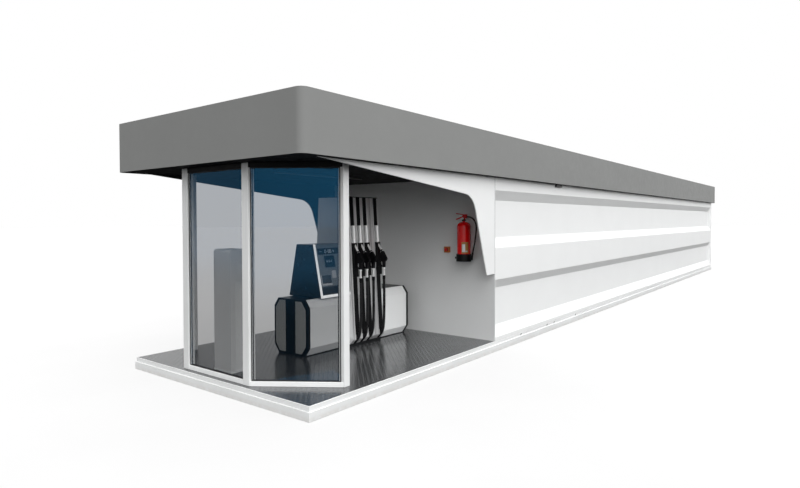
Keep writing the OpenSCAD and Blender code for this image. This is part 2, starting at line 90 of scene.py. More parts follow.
# Sizes that part.scad gives the dispenser, in metres, with heights from the deck. NOZZLE_AT is each
# nozzle's line, back from the mast's front end.
HEAD_TOP_HALF = 0.150
HEAD_LEAN = math.atan((HEAD_HALF - HEAD_TOP_HALF) / HEAD_HEIGHT)
MAST_HALF = 0.370
MAST_TOP_HALF = 0.250
MAST_HEIGHT = 1.940
MAST_LEAN = math.atan((MAST_HALF - MAST_TOP_HALF) / MAST_HEIGHT)
MAST_FOOT_HALF = 0.305
MAST_FOOT_HEIGHT = 0.040
MAST_EDGE_HEIGHT = 0.100
CHANNEL_HALF = 0.318
CHANNEL_WIDTH = 0.048
STRIP_LOW = 0.165
NOZZLE_AT = (0.088, 0.213, 0.339, 0.558)
SWIVEL_X = 0.420

# The slanted panes' outer line in plan, across from the middle and back from the base's front. The
# glass is set back from it.
SLANT_FROM = Vector((0.580, 0.060))
SLANT_TO = Vector((1.354, 0.604))
GLASS_BACK = 0.024
GLASS_T = 0.014

SIDES = (("right", 1), ("left", -1))

# Route of a fuel hose: distance from the dispenser's centre line, and height above the ground. It
# starts at the gland in the mast's foot, whose own line starts at GLAND_FROM.
HOSE_ROUTE = [
    (0.3266, 0.2150), (0.3348, 0.2207), (0.3480, 0.2310), (0.3638, 0.2468), (0.3772, 0.2647),
    (0.3880, 0.2842), (0.3960, 0.3050), (0.4036, 0.3340), (0.4094, 0.3680), (0.4136, 0.4080),
    (0.4168, 0.4540), (0.4192, 0.5100), (0.4208, 0.5700), (0.4218, 0.6400), (0.4220, 0.7100),
    (0.4220, 0.7800), (0.4220, 0.8500), (0.4218, 0.9100), (0.4210, 0.9650), (0.4202, 1.0100),
    (0.4200, 1.0370),
]
HOSE_DIAMETER = 0.036
GLAND_FROM = (0.2905, 0.1899)

# The extinguisher's axis, and its hose's route: across from the axis, and height.
EXT_X = 1.090
EXT_Y = FRONT_Y + 3.265
EXT_HOSE_ROUTE = [
    (0.048, 1.822), (0.072, 1.822), (0.098, 1.818), (0.124, 1.808), (0.148, 1.792), (0.168, 1.770),
    (0.183, 1.742), (0.192, 1.710), (0.195, 1.675), (0.194, 1.630), (0.189, 1.580), (0.181, 1.525),
    (0.171, 1.470), (0.160, 1.415), (0.148, 1.360), (0.138, 1.310),
]
EXT_HOSE_DIAMETER = 0.020

# The studio's light: an even part, a part that grows along a direction, and a broad bright patch.
DOME_EVEN = 0.85
DOME_LEAN = (0.18, 0.22, 0.30)
PATCH_TOWARD = (0.674, -0.314, 0.669)
PATCH_FOCUS = 4.0
PATCH_STRENGTH = 2.0

# The floor is a wide disc.
FLOOR_RADIUS = 150


# ---------------------------------------------------------------- camera

def make_camera():
    """The camera stands at the front right, at eye height, level but for a hair."""
    stand = (5.1966, FRONT_Y - 3.4464, 1.7819)
    yaw, pitch, roll = (math.radians(a) for a in (37.848, 1.181, -0.153))
    flat = math.cos(pitch)
    ahead = Vector((-math.sin(yaw) * flat, math.cos(yaw) * flat, -math.sin(pitch)))
    level = Vector((math.cos(yaw), math.sin(yaw), 0))
    up = level.cross(ahead)
    right = math.cos(roll) * level + math.sin(roll) * up
    data = bpy.data.cameras.new("camera")
    data.sensor_width = 36
    data.lens = 25.663
    data.shift_y = -0.01535
    data.clip_end = 500
    camera = bpy.data.objects.new("camera", data)
    turn = Matrix((right, right.cross(ahead), -ahead)).transposed()
    camera.matrix_world = Matrix.Translation(stand) @ turn.to_4x4()
    bpy.context.scene.collection.objects.link(camera)
    bpy.context.scene.camera = camera


make_camera()


# ---------------------------------------------------------------- hoses

def beside(s, y, line):
    """Points on one side of the dispenser, from distances off its centre line and heights."""
    return [(DISP_X + s * x, y, z) for x, z in line]


def hose_curve(name, points, diameter, cad_node):
    """One smooth open curve through the points, as thick as the hose, in place of its CAD solid."""
    curve = bpy.data.curves.new(name, "CURVE")
    curve.dimensions = "3D"
    curve.bevel_depth = diameter / 2
    curve.bevel_resolution = 4
    curve.use_fill_caps = True
    curve.resolution_u = 4
    spline = curve.splines.new("BEZIER")
    spline.bezier_points.add(len(points) - 1)
    points = [Vector(point) for point in points]
    for i, (knot, point) in enumerate(zip(spline.bezier_points, points)):
        pull = (points[min(i + 1, len(points) - 1)] - points[max(i - 1, 0)]) / 6
        knot.handle_left_type = knot.handle_right_type = "FREE"
        knot.co, knot.handle_left, knot.handle_right = point, point - pull, point + pull
    piece = bpy.data.objects.new(name, curve)
    bpy.context.scene.collection.objects.link(piece)
    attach(piece, "root")
    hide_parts(cad_node)
    return piece


HOSES = []
for side, s in SIDES:
    for number, at in enumerate(NOZZLE_AT, 1):
        route = beside(s, MAST_LOW.y + at, HOSE_ROUTE)
        hose = hose_curve(f"fuel_hose_{side}_{number}", route, HOSE_DIAMETER, f"hose_{side}_{number}")
        HOSES.append(hose)

ext_route = [(EXT_X + x, EXT_Y, z) for x, z in EXT_HOSE_ROUTE]
ext_hose = hose_curve("discharge_hose", ext_route, EXT_HOSE_DIAMETER, "extinguisher_hose")
HOSES.append(ext_hose)


# ---------------------------------------------------------------- materials

def shader(name):
    """A new material, its node tree and its Principled shader."""
    material = bpy.data.materials.new(name)
    material.use_nodes = True
    tree = material.node_tree
    return material, tree, tree.nodes["Principled BSDF"]


def node(tree, kind, links=None, **values):
    """A shader node with its properties set, and its sockets set or linked by name."""
    made = tree.nodes.new("ShaderNode" + kind)
    for key, value in values.items():
        setattr(made, key, value)
    for socket, value in (links or {}).items():
        if isinstance(value, bpy.types.NodeSocket):
            tree.links.new(value, made.inputs[socket])
        else:
            made.inputs[socket].default_value = value
    return made


def noise(tree, scale, detail=4.0, stretch=(1, 1, 1)):
    """A noise texture in metres, so that its grain has a real size."""
    place = node(tree, "TexCoord")
    mapping = node(tree, "Mapping", {"Vector": place.outputs["Object"], "Scale": stretch})
    return node(tree, "TexNoise", {"Vector": mapping.outputs["Vector"], "Scale": scale, "Detail": detail})


def vary(tree, texture, low, high):
    """Stretches a noise texture over a range of values."""
    spread = node(tree, "MapRange", {"Value": texture.outputs["Fac"], "From Min": 0.3, "From Max": 0.7,
                                     "To Min": low, "To Max": high})
    return spread.outputs["Result"]


def blend(tree, factor, low, high):
    """A colour between two others: each is a colour or a socket."""
    mix = node(tree, "Mix", data_type="RGBA")
    tree.links.new(factor, mix.inputs[0])
    for socket, value in ((mix.inputs[6], low), (mix.inputs[7], high)):
        if isinstance(value, bpy.types.NodeSocket):
            tree.links.new(value, socket)
        else:
            socket.default_value = (*value, 1)
    return mix.outputs[2]


def dent(tree, texture, depth):
    """Bump of that depth in metres from a texture."""
    bump = node(tree, "Bump", {"Distance": depth, "Strength": 1.0, "Height": texture.outputs["Fac"]})
    return bump.outputs["Normal"]


def height_of(tree, low, high):
    """0 below one height above the ground and 1 above another, smooth between them."""
    place = node(tree, "TexCoord")
    split = node(tree, "SeparateXYZ", {"Vector": place.outputs["Object"]})
    ramp = node(tree, "MapRange", {"Value": split.outputs["Z"], "From Min": low, "From Max": high},
                interpolation_type="SMOOTHSTEP")
    return ramp.outputs["Result"]


def finish_of(name, color, rough, metal=0.0, drift=0.04, grain=900.0, depth=0.00002, coat=0.0,
              specular=0.5, stretch=(1, 1, 1), dust=None, shade_inside=None, under=None, glow=0.0):
    """A painted, moulded or metal finish: drifting colour, uneven gloss, a fine grain, and where
    they are given dust up to a height, painted shade nearer the middle than a distance, painted
    shade on undersides, and a painted glow of its own."""
    material, tree, surface = shader(name)
    low = [c * (1 - drift) for c in color]
    high = [min(1.0, c * (1 + drift)) for c in color]
    tone = blend(tree, vary(tree, noise(tree, 1.7, 5.0), 0, 1), low, high)
    if dust:
        reach, dusty = dust
        clean = height_of(tree, 0.0, reach)
        patchy = vary(tree, noise(tree, 14.0, 6.0, (1, 1, 0.35)), 0.0, 1.0)
        keep = node(tree, "Math", {0: clean, 1: patchy}, operation="MAXIMUM").outputs["Value"]
        tone = blend(tree, keep, dusty, tone)
    # Painted shade: parts nearer the middle than a distance take a darker colour.
    if shade_inside:
        reach, inner_shade = shade_inside
        place = node(tree, "TexCoord")
        split = node(tree, "SeparateXYZ", {"Vector": place.outputs["Object"]})
        off = node(tree, "Math", {0: split.outputs["X"]}, operation="ABSOLUTE")
        within = node(tree, "Math", {0: off.outputs["Value"], 1: reach}, operation="LESS_THAN")
        tone = blend(tree, within.outputs["Value"], tone, inner_shade)
    # Painted shade: faces that point down take another colour.
    if under:
        facing = node(tree, "SeparateXYZ", {"Vector": node(tree, "NewGeometry").outputs["Normal"]})
        below = node(tree, "Math", {0: facing.outputs["Z"], 1: -0.5}, operation="LESS_THAN")
        tone = blend(tree, below.outputs["Value"], tone, under)
    tree.links.new(tone, surface.inputs["Base Color"])
    smear = noise(tree, 9.0, 6.0, stretch)
    tree.links.new(vary(tree, smear, rough * 0.85, min(1.0, rough * 1.15)), surface.inputs["Roughness"])
    if depth:
        tree.links.new(dent(tree, noise(tree, grain, 2.0, stretch), depth), surface.inputs["Normal"])
    surface.inputs["Metallic"].default_value = metal
    surface.inputs["Specular IOR Level"].default_value = specular
    surface.inputs["Coat Weight"].default_value = coat
    surface.inputs["Coat Roughness"].default_value = 0.08
    # A glow, where given, is painted light on a part that is no lamp.
    surface.inputs["Emission Color"].default_value = (1, 1, 1, 1)
    surface.inputs["Emission Strength"].default_value = glow
    return material


def glass_finish():
    """Solar control glass: each face lets most light by and mirrors a little of it blue."""
    material, tree, surface = shader("tinted_glass")
    drift = vary(tree, noise(tree, 0.8), 0, 1)
    tone = blend(tree, drift, (0.0110, 0.072, 0.144), (0.0120, 0.078, 0.156))
    tree.links.new(tone, surface.inputs["Base Color"])
    tree.links.new(vary(tree, noise(tree, 2.0), 0.02, 0.05), surface.inputs["Roughness"])
    surface.inputs["Metallic"].default_value = 1.0
    surface.inputs["Alpha"].default_value = 0.376
    return material


def mast_finish():
    """Silver anodised profile with lengthwise drawing marks, on a black foot."""
    material, tree, surface = shader("mast_silver")
    place = node(tree, "TexCoord")
    marks = node(tree, "Mapping", {"Vector": place.outputs["Object"], "Scale": (0, 1, 0.01)})
    lines = node(tree, "TexNoise", {"Vector": marks.outputs["Vector"], "Scale": 60.0, "Detail": 3.0})
    silver = blend(tree, vary(tree, lines, 0, 1), (0.50, 0.50, 0.505), (0.86, 0.86, 0.86))
    foot_z = DECK_Z + MAST_FOOT_HEIGHT
    above = height_of(tree, foot_z, foot_z + 0.003)
    tree.links.new(blend(tree, above, BLACK, silver), surface.inputs["Base Color"])
    tree.links.new(vary(tree, lines, 0.28, 0.42), surface.inputs["Roughness"])
    tree.links.new(dent(tree, lines, 0.0001), surface.inputs["Normal"])
    surface.inputs["Metallic"].default_value = 0.5
    return material


WHITE = (0.88, 0.89, 0.89)
OFF_WHITE = (0.80, 0.81, 0.81)
BLACK = (0.012, 0.012, 0.013)
DEEP_BLACK = (0.004, 0.004, 0.005)
FINISHES = {
    "base_paint": finish_of("base_paint", OFF_WHITE, 0.45, dust=(0.06, (0.70, 0.69, 0.67))),
    "deck_tread": finish_of("deck_tread", (0.15, 0.155, 0.16), 0.2, metal=0.75, drift=0.12, grain=120,
                            depth=0.0002),
    "floor_steel": finish_of("floor_steel", (0.35, 0.36, 0.36), 0.6),
    "wall_paint": finish_of("wall_paint", WHITE, 0.45, drift=0.012, dust=(0.24, (0.84, 0.84, 0.83))),
    "bay_wall_paint": finish_of("bay_wall_paint", OFF_WHITE, 0.5, drift=0.015),
    # The wing panels' faces turned in under the roof are painted black as painted shade.
    "wing_paint": finish_of("wing_paint", WHITE, 0.45, drift=0.012, shade_inside=(HALF_WIDTH - 0.0165, BLACK)),
    # The fascia's undersides are painted deep black: partly the soffit's own black under the overhang,
    # partly painted shade for the dark line under the eaves.
    "fascia_paint": finish_of("fascia_paint", (0.258, 0.262, 0.258), 0.6, drift=0.02, specular=0.1,
                              under=DEEP_BLACK),
    "roof_paint": finish_of("roof_paint", (0.3, 0.3, 0.3), 0.75, drift=0.1),
    "soffit_black": finish_of("soffit_black", (0.005, 0.005, 0.006), 0.7, drift=0.15, specular=0.15),
    "lamp_cover": finish_of("lamp_cover", (0.15, 0.15, 0.155), 0.5),
    "post_aluminium": finish_of("post_aluminium", OFF_WHITE, 0.4),
    "rail_white": finish_of("rail_white", WHITE, 0.4),
    "rail_dark": finish_of("rail_dark", (0.005, 0.005, 0.006), 0.5, specular=0.15),
    "tinted_glass": glass_finish(),
    "terminal_paint": finish_of("terminal_paint", (0.64, 0.65, 0.65), 0.5, grain=400, depth=0.00008),
    "terminal_panel": finish_of("terminal_panel", (0.74, 0.75, 0.745), 0.5, grain=400, depth=0.00008),
    "cabinet_black": finish_of("cabinet_black", (0.006, 0.007, 0.008), 0.35, drift=0.15, specular=0.25),
    "cabinet_white": finish_of("cabinet_white", (0.93, 0.94, 0.94), 0.35, drift=0.012),
    "cabinet_grey": finish_of("cabinet_grey", (0.40, 0.405, 0.39), 0.55, grain=500, depth=0.0001),
    "head_dark": finish_of("head_dark", (0.012, 0.020, 0.028), 0.25, drift=0.15, coat=0.3),
    # The head's trim is no lamp: its glow is painted light that keeps it bright.
    "trim_white": finish_of("trim_white", (0.90, 0.90, 0.90), 0.4, glow=0.9),
    "display_glass": finish_of("display_glass", (0.015, 0.022, 0.030), 0.12, drift=0.15, depth=0),
    "mast_silver": mast_finish(),
    "boot_black": finish_of("boot_black", DEEP_BLACK, 0.35, drift=0.15, specular=0.15),
    "spout_metal": finish_of("spout_metal", (0.95, 0.95, 0.95), 0.25, metal=0.2, stretch=(1, 1, 0.05)),
    "nozzle_black": finish_of("nozzle_black", DEEP_BLACK, 0.5, drift=0.15, grain=600,
                              depth=0.0001, specular=0.15),
    "coupling_metal": finish_of("coupling_metal", (0.96, 0.96, 0.96), 0.2, metal=0.2),
    "hose_rubber": finish_of("hose_rubber", (0.008, 0.008, 0.009), 0.3, drift=0.15, grain=500,
                             depth=0.00006, specular=0.35),
    "bottle_red": finish_of("bottle_red", (0.80, 0.004, 0.005), 0.25, coat=0.4, specular=0.3),
    "boot_plastic": finish_of("boot_plastic", DEEP_BLACK, 0.5, drift=0.15, specular=0.2),
    "valve_red": finish_of("valve_red", (0.62, 0.006, 0.008), 0.35, specular=0.3),
    "stop_orange": finish_of("stop_orange", (0.52, 0.15, 0.035), 0.4),
}
RUBBER = finish_of("gasket_rubber", (0.02, 0.02, 0.021), 0.6, drift=0.15)
DARK_METAL = finish_of("dark_metal", (0.05, 0.05, 0.052), 0.4, metal=0.5, drift=0.15)
HEAD_SHEET = finish_of("head_sheet", (0.19, 0.21, 0.225), 0.4, drift=0.05)
PALE = finish_of("pale_print", (0.80, 0.82, 0.82), 0.4)
SILVER = finish_of("silver_print", (0.62, 0.63, 0.64), 0.35, metal=0.4)
OCHRE = finish_of("ochre_print", (0.42, 0.20, 0.055), 0.5, drift=0.1)
RED_CAP = finish_of("red_cap", (0.60, 0.008, 0.010), 0.3)

for part in frame["record"]["subparts"]:
    mesh = NODES[part["node"]].data
    mesh.materials.clear()
    mesh.materials.append(FINISHES[part["material_slot"]])
for hose in HOSES:
    hose.data.materials.append(FINISHES["hose_rubber"])

# The panes darken what is seen through them, but cast no shadow into the bay.
for name in ("screen_glass_front", "screen_glass_right", "screen_glass_left"):
    NODES[name].visible_shadow = False
    NODES[name].visible_diffuse = False


# ---------------------------------------------------------------- rounded edges of CAD nodes

# Width of the rounded edges, in millimetres.
ROUNDED = {
    "base_side_beams": 3, "base_end_beams": 3, "side_wall_right": 5, "side_wall_left": 5,
    "housing_end_wall": 5, "wing_panel_right": 3, "wing_panel_left": 3, "screen_posts": 5,
    "screen_bottom_rails": 4, "screen_top_rails": 4, "pay_terminal": 6, "pay_terminal_panel": 2,
    "cabinet_front": 4, "cabinet_rear": 4, "cabinet_side_panels": 2.5, "cabinet_end_panels": 2,
    "display_head": 6, "display_head_trim": 2, "display_panels": 1.5, "hose_mast": 4,
    "nozzle_boots": 2, "emergency_stop": 8, "extinguisher_boot": 3, "extinguisher_valve": 2.5,
    "ceiling_light": 5,
}
for name, width in ROUNDED.items():
    weld = NODES[name].modifiers.new("weld", "WELD")
    weld.merge_threshold = 0.00001
    bevel = NODES[name].modifiers.new("bevel", "BEVEL")
    bevel.width = width / 1000
    bevel.segments = 2
    bevel.limit_method = "ANGLE"
    bevel.angle_limit = math.radians(30)


# ---------------------------------------------------------------- tools for new pieces

def piece(name, mesh, slot, finish=None, smooth=False):
    """Turns a bmesh into a piece of the station, with the finish given or else that of one material slot.
    """
    bmesh.ops.recalc_face_normals(mesh, faces=mesh.faces)
    data = bpy.data.meshes.new(name)
    mesh.to_mesh(data)
    mesh.free()
    data.materials.append(finish or FINISHES[slot])
    if smooth:
        data.polygons.foreach_set("use_smooth", [True] * len(data.polygons))
        data.set_sharp_from_angle(angle=math.radians(40))
    made = bpy.data.objects.new(name, data)
    bpy.context.scene.collection.objects.link(made)
    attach(made, "root")
    return made


def spread(x, y, z, at):
    """A frame from its three axes and its origin."""
    turn = Matrix((Vector(x), Vector(y), Vector(z))).transposed()
    return Matrix.Translation(Vector(at)) @ turn.to_4x4()


def block(mesh, low, high, edge=0.002, place=None):
    """A box between two corners with rounded edges, in a frame of its own."""
    low, high = Vector(low), Vector(high)
    size = high - low
    fit = Matrix.Translation((low + high) / 2) @ Matrix.Diagonal((*size, 1))
    made = bmesh.ops.create_cube(mesh, size=1, matrix=fit)
    points = made["verts"]
    if edge:
        edges = list({e for v in points for e in v.link_edges})
        cut = bmesh.ops.bevel(mesh, geom=edges, offset=min(edge, min(size) * 0.45), segments=2,
                              profile=0.5, affect="EDGES")
        points = list({v for f in cut["faces"] for v in f.verts} | {v for v in points if v.is_valid})
    if place:
        bmesh.ops.transform(mesh, matrix=place, verts=points)


def prism(mesh, outline, low, high, place):
    """An outline in x and y carried from one height to another, in a frame of its own."""
    rings = [[mesh.verts.new(place @ Vector((x, y, z))) for x, y in outline] for z in (low, high)]
    n = len(outline)
    for i in range(n):
        j = (i + 1) % n
        mesh.faces.new((rings[0][i], rings[0][j], rings[1][j], rings[1][i]))
    mesh.faces.new(rings[0][::-1])
    mesh.faces.new(rings[1])


def border(mesh, low, high, bar, edge, place):
    """Four bars round a rectangle in y and z, from one depth in x to another."""
    for y in (low[1], high[1] - bar):
        block(mesh, (low[0], y, low[2]), (high[0], y + bar, high[2]), edge, place)
    for z in (low[2], high[2] - bar):
        block(mesh, (low[0], low[1] + bar, z), (high[0], high[1] - bar, z + bar), edge, place)


def lathe(mesh, profile, place, sides=32):
    """A profile of radii and heights turned about the z axis of a frame."""
    turn = [2 * math.pi * i / sides for i in range(sides)]
    rings = []
    for r, z in profile:
        if r < 1e-6:
            ring = [(0, 0, z)]
        else:
            ring = [(r * math.cos(a), r * math.sin(a), z) for a in turn]
        rings.append([mesh.verts.new(place @ Vector(point)) for point in ring])
    for one, two in zip(rings, rings[1:]):
        for i in range(sides):
            j = (i + 1) % sides
            corners = [one[i % len(one)], one[j % len(one)], two[j % len(two)], two[i % len(two)]]
            face = list(dict.fromkeys(corners))
            if len(face) > 2:
                mesh.faces.new(face)


def sweep(mesh, points, radius, sides=10):
    """A round bar with closed ends along a line of points."""
    points = [Vector(p) for p in points]
    turn = [2 * math.pi * k / sides for k in range(sides)]
    side = None
    rings = []
    for i, point in enumerate(points):
        way = (points[min(i + 1, len(points) - 1)] - points[max(i - 1, 0)]).normalized()
        if side is None:
            side = way.orthogonal()
        side = (side - way * side.dot(way)).normalized()
        across = way.cross(side)
        ring = [point + radius * (math.cos(a) * side + math.sin(a) * across) for a in turn]
        rings.append([mesh.verts.new(corner) for corner in ring])
    for one, two in zip(rings, rings[1:]):
        for k in range(sides):
            j = (k + 1) % sides
            mesh.faces.new((one[k], one[j], two[j], two[k]))
    mesh.faces.new(rings[0][::-1])
    mesh.faces.new(rings[-1])


def along(way, at):
    """A frame whose z axis is a direction in the plane of x and z."""
    return spread((0, 1, 0), way.cross(Vector((0, 1, 0))), way, at)


def sloping_side(s, lean, half, y, z):
    """The frame of one of the dispenser's sloping sides: x out, y along it, z up the slope."""
    c, d = math.cos(lean), math.sin(lean)
    return spread((s * c, 0, d), (0, 1, 0), (-s * d, 0, c), (DISP_X + s * half, y, z))


def mast_face(s, at=0.0):
    """A side of the mast, from a place along it."""
    return sloping_side(s, MAST_LEAN, MAST_HALF, MAST_LOW.y + at, DECK_Z)


def head_face(s):
    """A side of the display head, from its front end."""
    return sloping_side(s, HEAD_LEAN, HEAD_HALF, HEAD_LOW.y, HEAD_LOW.z)


# ---------------------------------------------------------------- deck, base and walls

def tread_bars():
    """Chequer plate: short raised bars, each across the next, clear of what stands on the deck."""
    pitch, half_l, half_w, rise = 0.036, 0.0145, 0.0035, 0.0014
    sunk, taper = 0.0005, 0.62
    margin, first_row = 0.030, 0.045
    closed = [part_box("pay_terminal"), (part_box("cabinet_front")[0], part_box("cabinet_rear")[1])]
    vertices, faces = [], []
    columns = int((2 * HALF_WIDTH - 2 * margin) / pitch)
    rows = int((BAY_LENGTH - 2 * margin) / pitch)
    for i in range(columns):
        for j in range(rows):
            x = (i - (columns - 1) / 2) * pitch
            y = FRONT_Y + first_row + j * pitch
            if any(a.x < x < b.x and a.y < y < b.y for a, b in closed):
                continue
            s = 1 if (i + j) % 2 else -1
            long = Vector((1, s, 0)).normalized() * half_l
            wide = Vector((-s, 1, 0)).normalized() * half_w
            first = len(vertices)
            for z, k in ((DECK_Z - sunk, 1.0), (DECK_Z + rise, taper)):
                for a, b in ((-1, 0), (0, -1), (1, 0), (0, 1)):
                    vertices.append(Vector((x, y, z)) + (long * a + wide * b) * k)
            for k in range(4):
                m = (k + 1) % 4
                faces.append((first + k, first + m, first + 4 + m, first + 4 + k))
            faces.append((first + 4, first + 5, first + 6, first + 7))
            faces.append((first + 3, first + 2, first + 1, first))
    data = bpy.data.meshes.new("tread_bars")
    data.from_pydata(vertices, [], faces)
    data.materials.append(FINISHES["deck_tread"])
    made = bpy.data.objects.new("tread_bars", data)
    bpy.context.scene.collection.objects.link(made)
    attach(made, "root")


def side_details():
    """Slanted drain slots in the base, a fitting under the eaves, and the wing's joint with the wall."""
    slots, fitting, joints = bmesh.new(), bmesh.new(), bmesh.new()
    slot_z = 0.111
    slot_outline = [(-0.020, -0.012), (-0.006, -0.014), (0.022, 0.008), (0.020, 0.014), (0.006, 0.013)]
    fitting_from, fitting_to, fitting_z = FRONT_Y + 5.41, FRONT_Y + 5.64, 2.308
    plate, step = 0.030, 0.020
    joint_y, joint_w, joint_z = FRONT_Y + 3.389, 0.003, 1.052
    for _, s in SIDES:
        for y in (4.18, 5.11, 5.39, 6.33):
            face = spread((0, s, 0), (0, 0, 1), (s, 0, 0), (s * HALF_WIDTH, FRONT_Y + y, slot_z))
            prism(slots, slot_outline, -0.0005, 0.0012, face)
        x = sorted((s * (HALF_WIDTH - 0.001), s * (HALF_WIDTH + 0.030)))
        block(fitting, (x[0], fitting_from, fitting_z), (x[1], fitting_to, fitting_z + plate), 0.004)
        block(fitting, (x[0], fitting_from + step, fitting_z + plate - 0.002),
              (x[1], fitting_to - step, SOFFIT_Z + 0.001), 0.002)
        x = sorted((s * (HALF_WIDTH - 0.002), s * (HALF_WIDTH + 0.0004)))
        block(joints, (x[0], joint_y, joint_z), (x[1], joint_y + joint_w, SOFFIT_Z - 0.001), 0)
    piece("drain_slots", slots, "cabinet_black", RUBBER)
    piece("eaves_fittings", fitting, "rail_dark", DARK_METAL)
    piece("wing_joints", joints, "wall_paint", RUBBER)


def roof_details():
    """Lap seams across the roof sheet, and the fascia's folded edge round it."""
    low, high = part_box("roof_cap")
    seams = bmesh.new()
    sheets = 27
    seam_outline = [(-0.022, 0), (-0.012, 0.010), (0.012, 0.010), (0.022, 0)]
    end_gap = 0.030
    for i in range(1, sheets):
        y = low.y + (high.y - low.y) * i / sheets
        place = spread((0, 1, 0), (0, 0, 1), (1, 0, 0), (0, y, high.z))
        prism(seams, seam_outline, low.x + end_gap, high.x - end_gap, place)
    piece("roof_seams", seams, "roof_paint")

    fold = bmesh.new()
    lip, lip_t, hair = 0.045, 0.003, 0.001
    top = ROOF_Z - hair
    for _, s in SIDES:
        x = sorted((s * (high.x - lip), s * (high.x + hair)))
        block(fold, (x[0], low.y, top - lip_t), (x[1], high.y, top), 0.001)
        y = sorted((s * (high.y - lip), s * (high.y + hair)))
        block(fold, (low.x, y[0], top - lip_t), (high.x, y[1], top), 0.001)
    piece("fascia_fold", fold, "fascia_paint")


# ---------------------------------------------------------------- glazed screen

def glazing_gaskets():
    """Black gaskets round each pane, on both faces of the glass."""
    low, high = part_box("screen_glass_front")
    run = (SLANT_TO - SLANT_FROM).normalized()
    outer_run, inner_run = (0.018, 0.911), (0.028, 0.890)
    thick, wide = 0.007, 0.009
    mesh = bmesh.new()

    def gasket(place, ends, depth):
        border(mesh, (depth, ends[0], low.z), (depth + thick, ends[1], high.z), wide, 0.0015, place)

    front = spread((0, 1, 0), (1, 0, 0), (0, 0, 1), (0, 0, 0))
    gasket(front, (low.x, high.x), low.y - thick)
    gasket(front, (low.x, high.x), high.y)
    for _, s in SIDES:
        slant = spread((-s * run.y, run.x, 0), (s * run.x, run.y, 0), (0, 0, 1),
                       (s * SLANT_FROM.x, FRONT_Y + SLANT_FROM.y, 0))
        gasket(slant, outer_run, GLASS_BACK - thick)
        gasket(slant, inner_run, GLASS_BACK + GLASS_T)
    piece("glazing_gaskets", mesh, "rail_dark", RUBBER)


# ---------------------------------------------------------------- pay terminal

def terminal_details():
    """A pale kick strip round the pay terminal's foot."""
    low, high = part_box("pay_terminal")
    strip = bmesh.new()
    out, sunk = 0.004, 0.001
    top = DECK_Z + 0.024
    block(strip, (low.x - out, low.y - out, DECK_Z), (high.x + out, low.y + sunk, top), 0.002)
    block(strip, (low.x - out, high.y - sunk, DECK_Z), (high.x + out, high.y + out, top), 0.002)
    for x in ((low.x - out, low.x + sunk), (high.x - sunk, high.x + out)):
        block(strip, (x[0], low.y, DECK_Z), (x[1], high.y, top), 0.002)
    piece("terminal_kick_strip", strip, "terminal_panel", PALE)


# ---------------------------------------------------------------- dispenser

# The seven bars of a digit, each from one corner to another, and the bars that each sign lights.
SEGMENTS = {
    "a": ((0.0, 1.0), (1.0, 1.0)), "b": ((1.0, 0.5), (1.0, 1.0)), "c": ((1.0, 0.0), (1.0, 0.5)),
    "d": ((0.0, 0.0), (1.0, 0.0)), "e": ((0.0, 0.0), (0.0, 0.5)), "f": ((0.0, 0.5), (0.0, 1.0)),
    "g": ((0.0, 0.5), (1.0, 0.5)),
}
DIGITS = {"0": "abcdef", "8": "abcdefg", "-": "g", "5": "afgcd", "2": "abged"}


def digits(mesh, place, text, y, z, tall, out):
    """Seven segment digits of bars, in a row along y, on a face whose x points out."""
    wide, stroke, thick = tall * 0.52, tall * 0.13, 0.0012
    step = wide * 1.55
    for i, digit in enumerate(text):
        for name in DIGITS[digit]:
            (u0, v0), (u1, v1) = SEGMENTS[name]
            first = (y + i * step + u0 * wide - stroke / 2, z + v0 * tall - stroke / 2)
            last = (y + i * step + u1 * wide + stroke / 2, z + v1 * tall + stroke / 2)
            block(mesh, (out, *first), (out + thick, *last), 0, place)


# What the head's displays show: the signs, their place along the head and up it, and their height.
READINGS = (("--", 0.085, 0.566, 0.026), ("0-88", 0.175, 0.560, 0.038), ("-0", 0.300, 0.566, 0.026),
            ("0-5-2", 0.185, 0.440, 0.024))


def head_keypad(mesh, face):
    """Twelve keys on a plate."""
    plate_low, plate_high = (0.002, 0.246, 0.236), (0.006, 0.318, 0.330)
    key_y, key_z, pitch, wide, tall = 0.253, 0.243, 0.021, 0.016, 0.015
    block(mesh, plate_low, plate_high, 0.003, face)
    for i in range(3):
        for j in range(4):
            y, z = key_y + i * pitch, key_z + j * pitch
            block(mesh, (0.005, y, z), (0.010, y + wide, z + tall), 0.002, face)


